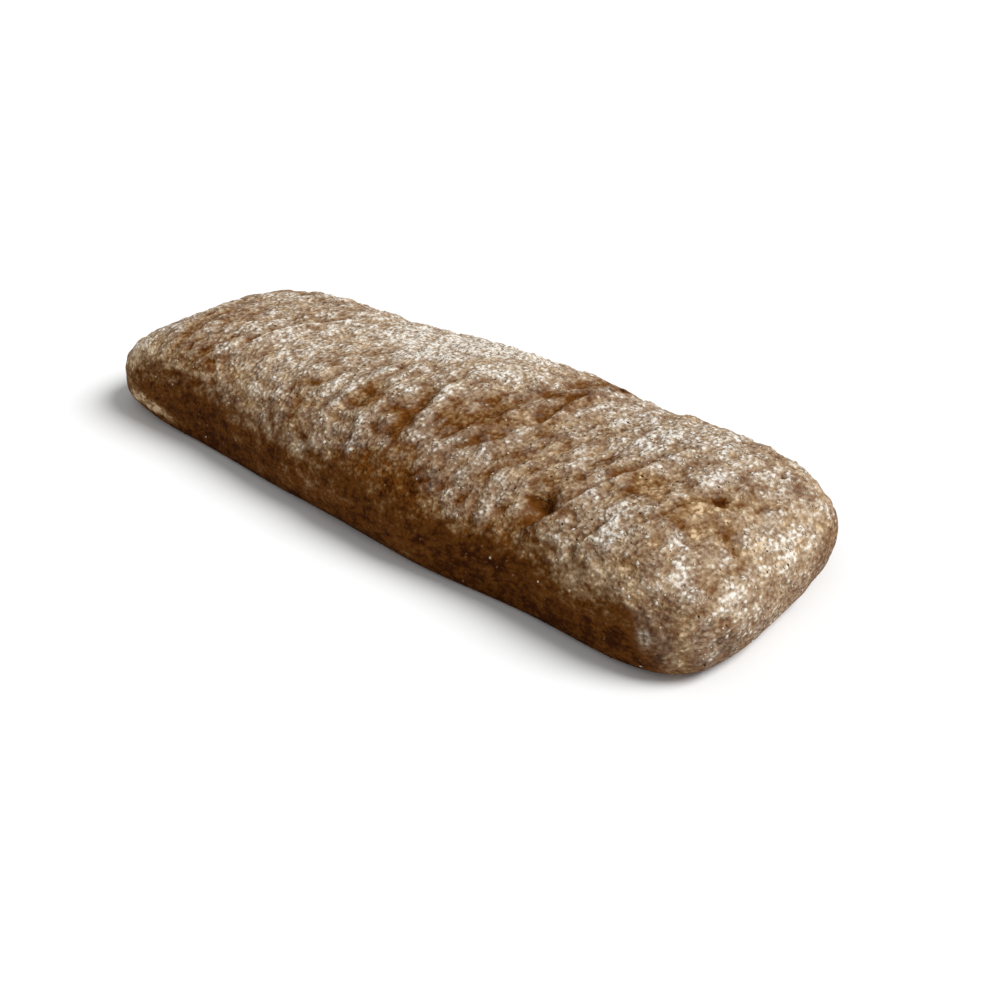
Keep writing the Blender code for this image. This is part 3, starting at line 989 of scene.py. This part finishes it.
def speck_material(name, first, second, look):
    """Loose specks whose colour changes from speck to speck between two."""
    material, tree, shader = new_material(name)
    place = stretched_place(tree, EVEN)
    cloud = noise_node(tree, place, look["clouds"], SPECK_DETAIL)
    colour = mix_colour(tree, ramp(tree, cloud, *look["edge"]), four(first), four(second))
    bumps = noise_node(tree, place, look["bumps"])
    finish(tree, shader, colour, look["roughness"], bumps, SPECK_BUMP)
    return material


# Small things scattered on the crust. Their sizes are shares of each one's radius.

# How much a lump's points stray from its even shape.
UNEVENNESS = 0.25
# Loose grains gather where flour lies, by this power of its share, and a few lie elsewhere.
GRAIN_GATHER = 1.5
GRAIN_STRAY = 0.006
# Most grains are small: the power of the draw between the smallest and the largest.
GRAIN_SPREAD = 3
GRAIN_WIDTHS = (0.6, 1.4)
GRAIN_ROOM = 0.6
GRAIN_LIFT = 0.12
GRAIN_FLATNESS = 0.3
# Bran shows where flour doesn't cover it: this, less the flour's share.
BRAN_SHARE = 1.15
BRAN_WIDTHS = (0.4, 0.8)
BRAN_ROOM = 0.3
BRAN_FLATNESS = 0.28


def triangles_of(mesh):
    """The corners of the mesh's triangles, as the numbers of its points."""
    mesh.calc_loop_triangles()
    return rows_of(mesh.loop_triangles, "vertices", np.int32)


def read_attribute(mesh, name):
    """The numbers that the mesh's points hold under a name."""
    values = np.empty(len(mesh.vertices))
    mesh.attributes[name].data.foreach_get("value", values)
    return values


def scatter(mesh, density, count, random):
    """Draws count places on the mesh, more where density is high. Returns places and normals."""
    corners = triangles_of(mesh)
    points = coordinates(mesh)
    normals = point_normals(mesh)
    a, b, c = (points[corners[:, k]] for k in range(3))
    area = np.linalg.norm(np.cross(b - a, c - a), axis=1) / 2
    weight = area * density[corners].mean(axis=1)
    chosen = random.choice(len(corners), size=count, p=weight / weight.sum())
    shares = random.dirichlet((1.0, 1.0, 1.0), size=count)[:, :, None]
    places = (points[corners[chosen]] * shares).sum(axis=1)
    leans = (normals[corners[chosen]] * shares).sum(axis=1)
    return places, leans / np.linalg.norm(leans, axis=1, keepdims=True)


def axes_on(normals, random):
    """Two level axes on each normal, turned at random."""
    helper = random.normal(size=normals.shape)
    first = np.cross(normals, helper)
    first /= np.linalg.norm(first, axis=1, keepdims=True)
    return first, np.cross(normals, first)


def lump_shape():
    """The points and faces of a crystal of eight faces."""
    points = np.array(((1, 0, 0), (0, 1, 0), (-1, 0, 0), (0, -1, 0), (0, 0, 1), (0, 0, -1)), float)
    faces = [(i, (i + 1) % 4, 4) for i in range(4)] + [((i + 1) % 4, i, 5) for i in range(4)]
    return points, np.array(faces)


def scattered_mesh(name, places, normals, sizes, flatness, random):
    """One mesh of many lumps that lie on the crust. sizes holds each lump's radii along two axes."""
    shape, faces = lump_shape()
    first, second = axes_on(normals, random)
    count = len(places)
    jitter = 1.0 + random.uniform(-UNEVENNESS, UNEVENNESS, size=(count, len(shape), 1))
    local = shape[None] * jitter
    points = places[:, None] + local[:, :, :1] * (first * sizes[:, :1])[:, None]
    points = points + local[:, :, 1:2] * (second * sizes[:, 1:2])[:, None]
    thick = sizes.mean(axis=1, keepdims=True) * flatness
    points = points + local[:, :, 2:] * (normals * thick)[:, None]
    points = keep_in_box(points.reshape(-1, 3))
    steps = np.arange(count)[:, None, None] * len(shape)
    mesh = bpy.data.meshes.new(name)
    mesh.from_pydata(points.tolist(), [], (faces[None] + steps).reshape(-1, 3).tolist())
    mesh.shade_smooth()
    return mesh


def room_above(places, reach):
    """True where a lump of that reach stays inside the loaf's own box."""
    low = np.array(LOAF_LOW) + reach[:, None]
    high = np.array(LOAF_HIGH) - reach[:, None]
    return ((places > low) & (places < high)).all(axis=1)


def flour_mesh(crust, flour):
    """Loose flour: single grains and small clumps."""
    random = np.random.default_rng(flour.seed)
    density = read_attribute(crust, "flour") ** GRAIN_GATHER + GRAIN_STRAY
    places, normals = scatter(crust, density, flour.count, random)
    spread = random.uniform(0.0, 1.0, size=flour.count) ** GRAIN_SPREAD
    radius = flour.smallest / 2 + (flour.largest - flour.smallest) / 2 * spread
    sizes = radius[:, None] * random.uniform(*GRAIN_WIDTHS, size=(flour.count, 2))
    inside = room_above(places, radius * GRAIN_ROOM)
    normals = normals[inside]
    places = places[inside] + normals * radius[inside, None] * GRAIN_LIFT
    return scattered_mesh("flour_grains", places, normals, sizes[inside], GRAIN_FLATNESS, random)


def bran_mesh(crust, bran):
    """Bran flakes, flat on the crust."""
    random = np.random.default_rng(bran.seed)
    density = BRAN_SHARE - read_attribute(crust, "flour")
    places, normals = scatter(crust, density, bran.count, random)
    radius = random.uniform(bran.smallest / 2, bran.largest / 2, size=bran.count)
    widths = random.uniform(*BRAN_WIDTHS, bran.count)
    sizes = radius[:, None] * np.stack([np.ones(bran.count), widths], axis=1)
    inside = room_above(places, radius * BRAN_ROOM)
    places = places[inside]
    return scattered_mesh("bran_flakes", places, normals[inside], sizes[inside], BRAN_FLATNESS, random)


# The stage.


def view_matrix():
    """The camera's place and turn, from the named view of the loaf."""
    azimuth = math.radians(VIEW_AZIMUTH)
    elevation = math.radians(VIEW_ELEVATION)
    level = math.cos(elevation)
    back = Vector((math.sin(azimuth) * level, -math.cos(azimuth) * level, math.sin(elevation)))
    look = (-back).copy()
    look.rotate(Matrix.Rotation(math.radians(VIEW_YAW), 3, "Z"))
    right = look.cross(Vector((0, 0, 1))).normalized()
    look.rotate(Matrix.Rotation(math.radians(VIEW_PITCH), 3, right))
    up = right.cross(look)
    turn = Matrix((right, up, -look)).transposed().to_4x4()
    return Matrix.Translation(back * VIEW_DISTANCE) @ turn


def add_camera():
    """The camera, at the named view of the loaf."""
    camera = bpy.data.cameras.new("camera")
    camera.sensor_width = SENSOR
    camera.lens = VIEW_LENS
    camera.clip_start = NEAREST
    obj = new_object("camera", camera)
    obj.matrix_world = view_matrix()
    bpy.context.scene.camera = obj


def add_lamp(name, place, spread, power):
    """A soft light far away in the direction of place. spread is the angle that it fills."""
    light = bpy.data.lights.new(name, "SUN")
    light.angle = spread
    light.energy = power
    obj = new_object(name, light)
    obj.rotation_euler = Vector(place).to_track_quat("Z", "Y").to_euler()


def add_floor(stage):
    """A plain floor under the loaf."""
    mesh = bpy.data.meshes.new("floor")
    plane = bmesh.new()
    bmesh.ops.create_grid(plane, x_segments=1, y_segments=1, size=stage.floor_size / 2)
    plane.to_mesh(mesh)
    plane.free()
    material, _, shader = new_material("pale_floor")
    shader.inputs["Base Color"].default_value = four(stage.floor_colour)
    shader.inputs["Roughness"].default_value = FLOOR_ROUGHNESS
    shader.inputs["Specular IOR Level"].default_value = 0.0
    mesh.materials.append(material)
    new_object("floor", mesh)


def add_world(stage):
    """Even light from all round."""
    world = bpy.data.worlds.new("studio")
    world.use_nodes = True
    background = world.node_tree.nodes["Background"]
    background.inputs["Color"].default_value = four(stage.air_colour)
    background.inputs["Strength"].default_value = stage.air_strength
    bpy.context.scene.world = world


# Settings.


def colour_property(name, description, default):
    """A colour in the panel."""
    return FloatVectorProperty(
        name=name, description=description, default=default, size=3, min=0.0, max=1.0, subtype="COLOR"
    )


def number_property(name, description, default, low=0.0, high=10.0):
    """A plain number in the panel."""
    return FloatProperty(name=name, description=description, default=default, min=low, max=high)


def count_property(name, description, default):
    """A whole number from 1 in the panel."""
    return IntProperty(name=name, description=description, default=default, min=1)


def length_property(name, description, default):
    """A length in the panel."""
    return FloatProperty(
        name=name, description=description, default=default, min=0.0, unit="LENGTH", subtype="DISTANCE"
    )


class CiabattaCrustSettings(bpy.types.PropertyGroup):
    """Colours and grain of the crust."""

    pale: colour_property("Pale", "Crust that stayed pale", (0.62, 0.45, 0.27))
    golden: colour_property("Golden", "Lightly baked crust", (0.32, 0.196, 0.095))
    brown: colour_property("Brown", "Well baked crust", (0.196, 0.101, 0.039))
    # The walls reach this colour partly as painted shade.
    dark: colour_property("Dark", "Crust of the walls", (0.124, 0.040, 0.005))
    scorched: colour_property("Scorched", "Crust baked darkest", (0.040, 0.009, 0.001))
    mottling: number_property("Mottling", "How much the bake varies from grain to grain", 3.2)
    grit_per_metre: number_property("Grit per metre", "How fine the crust's grain is", 900.0, 1.0, 9000.0)


class CiabattaFlourSettings(bpy.types.PropertyGroup):
    """The flour that lies on the crust."""

    colour: colour_property("Flour", "Colour of flour in full light", (0.76, 0.71, 0.63))
    thin: colour_property("Thin flour", "Colour of flour where it is thin", (0.60, 0.49, 0.36))
    shade: colour_property("Flour shade", "Colour of the duller grains", (0.46, 0.36, 0.25))
    coverage: number_property("Coverage", "Share of the top that flour covers", FLOUR_REST, 0.0, 1.0)
    clumps: number_property("Clumps", "How much the flour gathers in small clumps", 1.20, 0.0, 3.0)
    count: count_property("Loose grains", "How many loose grains lie on top", 3500)
    smallest: length_property("Smallest grain", "Width of the smallest loose grain", 0.5 * MM)
    largest: length_property("Largest grain", "Width of the largest loose clump", 1.2 * MM)
    seed: IntProperty(name="Seed", description="Changes where the loose grains lie", default=11)


class CiabattaBranSettings(bpy.types.PropertyGroup):
    """The bran baked onto the crust."""

    dark: colour_property("Dark bran", "Colour of the darkest flakes", (0.050, 0.018, 0.006))
    light: colour_property("Light bran", "Colour of the lightest flakes", (0.22, 0.11, 0.040))
    count: count_property("Flakes", "How many bran flakes lie on the crust", 1500)
    smallest: length_property("Smallest flake", "Width of the smallest flake", 0.5 * MM)
    largest: length_property("Largest flake", "Width of the largest flake", 1.3 * MM)
    seed: IntProperty(name="Seed", description="Changes where the flakes lie", default=23)


class CiabattaStageSettings(bpy.types.PropertyGroup):
    """Floor and light."""

    floor_colour: colour_property("Floor", "Colour of the floor", (0.90, 0.90, 0.90))
    floor_size: length_property("Floor size", "Width of the floor", 6.0)
    air_colour: colour_property("Air", "Colour of the light from all round", (1.0, 1.0, 1.0))
    air_strength: number_property("Air strength", "Strength of the light from all round", 0.42)
    key_power: number_property("Key", "Strength of the key light", 3.15)
    key_spread: FloatProperty(
        name="Key spread",
        description="Angle that the key light fills",
        default=0.6,
        min=0.0,
        subtype="ANGLE",
    )


# Operators.


class CiabattaCrust(bpy.types.Operator):
    """Makes the creased crust, in place of the loaf's plain solid"""

    bl_idname = "ciabatta.crust"
    bl_label = "Crust"

    def execute(self, context):
        scene = context.scene
        mesh = crust_mesh(scene.ciabatta_flour.coverage)
        material = crust_material(scene.ciabatta_crust, scene.ciabatta_flour)
        crust = new_piece("crust", mesh, material)
        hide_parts(LOAF)
        return {"FINISHED"}


class CiabattaFlour(bpy.types.Operator):
    """Strews loose flour over the crust"""

    bl_idname = "ciabatta.flour"
    bl_label = "Loose flour"

    def execute(self, context):
        flour = context.scene.ciabatta_flour
        mesh = flour_mesh(bpy.data.objects["crust"].data, flour)
        material = speck_material("loose_flour", flour.shade, flour.colour, GRAIN_LOOK)
        new_piece("flour_grains", mesh, material)
        return {"FINISHED"}


class CiabattaBran(bpy.types.Operator):
    """Lays bran flakes on the crust"""

    bl_idname = "ciabatta.bran"
    bl_label = "Bran"

    def execute(self, context):
        bran = context.scene.ciabatta_bran
        mesh = bran_mesh(bpy.data.objects["crust"].data, bran)
        material = speck_material("bran", bran.dark, bran.light, BRAN_LOOK)
        new_piece("bran_flakes", mesh, material)
        return {"FINISHED"}


class CiabattaStage(bpy.types.Operator):
    """Sets the camera, the lights and the floor"""

    bl_idname = "ciabatta.stage"
    bl_label = "Stage"

    def execute(self, context):
        stage = context.scene.ciabatta_stage
        add_camera()
        add_floor(stage)
        add_world(stage)
        add_lamp("key", KEY_FROM, stage.key_spread, stage.key_power)
        context.scene.view_settings.view_transform = "Standard"
        return {"FINISHED"}


class CiabattaPanel(bpy.types.Panel):
    """The roll's pieces and settings"""

    bl_idname = "CIABATTA_PT_panel"
    bl_label = "Ciabatta roll"
    bl_space_type = "VIEW_3D"
    bl_region_type = "UI"
    bl_category = "Ciabatta"

    def draw(self, context):
        for settings in SETTINGS:
            group = getattr(context.scene, settings)
            box = self.layout.box()
            for name in group.__annotations__:
                box.prop(group, name)
            box.operator(settings.replace("_", ".", 1))


# Each group of settings has the name of its operator, with an underscore for the dot.
SETTINGS = {
    "ciabatta_crust": CiabattaCrustSettings,
    "ciabatta_flour": CiabattaFlourSettings,
    "ciabatta_bran": CiabattaBranSettings,
    "ciabatta_stage": CiabattaStageSettings,
}
CLASSES = (
    *SETTINGS.values(),
    CiabattaCrust,
    CiabattaFlour,
    CiabattaBran,
    CiabattaStage,
    CiabattaPanel,
)


def register():
    """Adds the settings, operators and panel to Blender."""
    for each in CLASSES:
        bpy.utils.register_class(each)
    for name, group in SETTINGS.items():
        setattr(bpy.types.Scene, name, PointerProperty(type=group))


def unregister():
    """Takes them out again."""
    for name in SETTINGS:
        delattr(bpy.types.Scene, name)
    for each in reversed(CLASSES):
        bpy.utils.unregister_class(each)


def main():
    """Makes every piece and the stage."""
    register()
    grain_group()
    flour_group()
    bpy.ops.ciabatta.crust()
    bpy.ops.ciabatta.flour()
    bpy.ops.ciabatta.bran()
    bpy.ops.ciabatta.stage()


if __name__ == "__main__":
    main()
